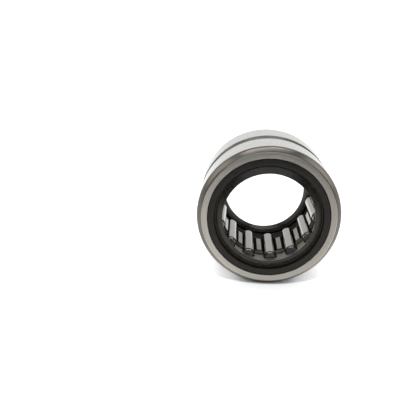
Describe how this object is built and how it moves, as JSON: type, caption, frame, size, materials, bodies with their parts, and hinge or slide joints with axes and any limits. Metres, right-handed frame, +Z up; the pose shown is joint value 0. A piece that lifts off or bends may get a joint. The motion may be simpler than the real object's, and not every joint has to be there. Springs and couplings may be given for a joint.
{
  "type": "needle roller bearing",
  "caption": "Heavy-duty needle roller bearing: machined outer ring with an oil groove and hole, caged rollers that run straight on the shaft, and a rubber lip seal in each end.",
  "frame": {"origin": "centre of the bearing: on its axis, half way between the two end faces", "axes": "+Y along the bearing axis, from the front end face to the rear one; +Z up and +X to the right as the bearing stands on its outside diameter, seen from the front"},
  "size_m": [0.035, 0.0254, 0.035],
  "materials": {
    "bearing_steel": "ground outside, raceway and end faces, with dark unground corners and oil groove",
    "cage_steel": "formed strip, dark in the corners, burnished on the bars",
    "roller_steel": "fine ground, satin",
    "seal_rubber": "moulded black nitrile rubber, low sheen",
    "insert_steel": "pressed sheet, phosphated"
  },
  "bodies": {
    "outer_ring": {"outer_ring": "bearing_steel", "front_seal_lip": "seal_rubber", "front_seal_insert": "insert_steel", "rear_seal_lip": "seal_rubber", "rear_seal_insert": "insert_steel"},
    "cage": {"cage": "cage_steel"},
    "roller_01": {"roller_01": "roller_steel"},
    "roller_02": {"roller_02": "roller_steel"},
    "roller_03": {"roller_03": "roller_steel"},
    "roller_04": {"roller_04": "roller_steel"},
    "roller_05": {"roller_05": "roller_steel"},
    "roller_06": {"roller_06": "roller_steel"},
    "roller_07": {"roller_07": "roller_steel"},
    "roller_08": {"roller_08": "roller_steel"},
    "roller_09": {"roller_09": "roller_steel"},
    "roller_10": {"roller_10": "roller_steel"},
    "roller_11": {"roller_11": "roller_steel"},
    "roller_12": {"roller_12": "roller_steel"},
    "roller_13": {"roller_13": "roller_steel"},
    "roller_14": {"roller_14": "roller_steel"}
  },
  "joints": [
    {"name": "cage_spin", "type": "hinge", "parent": "outer_ring", "child": "cage", "pos_m": [0, 0, 0], "axis": [0, 1, 0], "continuous": true},
    {"name": "roller_01_spin", "type": "hinge", "parent": "cage", "child": "roller_01", "pos_m": [0.00122, 0, -0.01266], "axis": [0, 1, 0], "continuous": true},
    {"name": "roller_02_spin", "type": "hinge", "parent": "cage", "child": "roller_02", "pos_m": [0.00659, 0, -0.01088], "axis": [0, 1, 0], "continuous": true},
    {"name": "roller_03_spin", "type": "hinge", "parent": "cage", "child": "roller_03", "pos_m": [0.01066, 0, -0.00694], "axis": [0, 1, 0], "continuous": true},
    {"name": "roller_04_spin", "type": "hinge", "parent": "cage", "child": "roller_04", "pos_m": [0.01261, 0, -0.00163], "axis": [0, 1, 0], "continuous": true},
    {"name": "roller_05_spin", "type": "hinge", "parent": "cage", "child": "roller_05", "pos_m": [0.01207, 0, 0.00401], "axis": [0, 1, 0], "continuous": true},
    {"name": "roller_06_spin", "type": "hinge", "parent": "cage", "child": "roller_06", "pos_m": [0.00914, 0, 0.00885], "axis": [0, 1, 0], "continuous": true},
    {"name": "roller_07_spin", "type": "hinge", "parent": "cage", "child": "roller_07", "pos_m": [0.00439, 0, 0.01193], "axis": [0, 1, 0], "continuous": true},
    {"name": "roller_08_spin", "type": "hinge", "parent": "cage", "child": "roller_08", "pos_m": [-0.00122, 0, 0.01266], "axis": [0, 1, 0], "continuous": true},
    {"name": "roller_09_spin", "type": "hinge", "parent": "cage", "child": "roller_09", "pos_m": [-0.00659, 0, 0.01088], "axis": [0, 1, 0], "continuous": true},
    {"name": "roller_10_spin", "type": "hinge", "parent": "cage", "child": "roller_10", "pos_m": [-0.01066, 0, 0.00694], "axis": [0, 1, 0], "continuous": true},
    {"name": "roller_11_spin", "type": "hinge", "parent": "cage", "child": "roller_11", "pos_m": [-0.01261, 0, 0.00163], "axis": [0, 1, 0], "continuous": true},
    {"name": "roller_12_spin", "type": "hinge", "parent": "cage", "child": "roller_12", "pos_m": [-0.01207, 0, -0.00401], "axis": [0, 1, 0], "continuous": true},
    {"name": "roller_13_spin", "type": "hinge", "parent": "cage", "child": "roller_13", "pos_m": [-0.00914, 0, -0.00885], "axis": [0, 1, 0], "continuous": true},
    {"name": "roller_14_spin", "type": "hinge", "parent": "cage", "child": "roller_14", "pos_m": [-0.00439, 0, -0.01193], "axis": [0, 1, 0], "continuous": true}
  ],
  "couplings": [
    {"joint": "roller_01_spin", "follows": "cage_spin", "ratio": -9.011},
    {"joint": "roller_02_spin", "follows": "cage_spin", "ratio": -9.011},
    {"joint": "roller_03_spin", "follows": "cage_spin", "ratio": -9.011},
    {"joint": "roller_04_spin", "follows": "cage_spin", "ratio": -9.011},
    {"joint": "roller_05_spin", "follows": "cage_spin", "ratio": -9.011},
    {"joint": "roller_06_spin", "follows": "cage_spin", "ratio": -9.011},
    {"joint": "roller_07_spin", "follows": "cage_spin", "ratio": -9.011},
    {"joint": "roller_08_spin", "follows": "cage_spin", "ratio": -9.011},
    {"joint": "roller_09_spin", "follows": "cage_spin", "ratio": -9.011},
    {"joint": "roller_10_spin", "follows": "cage_spin", "ratio": -9.011},
    {"joint": "roller_11_spin", "follows": "cage_spin", "ratio": -9.011},
    {"joint": "roller_12_spin", "follows": "cage_spin", "ratio": -9.011},
    {"joint": "roller_13_spin", "follows": "cage_spin", "ratio": -9.011},
    {"joint": "roller_14_spin", "follows": "cage_spin", "ratio": -9.011}
  ]
}
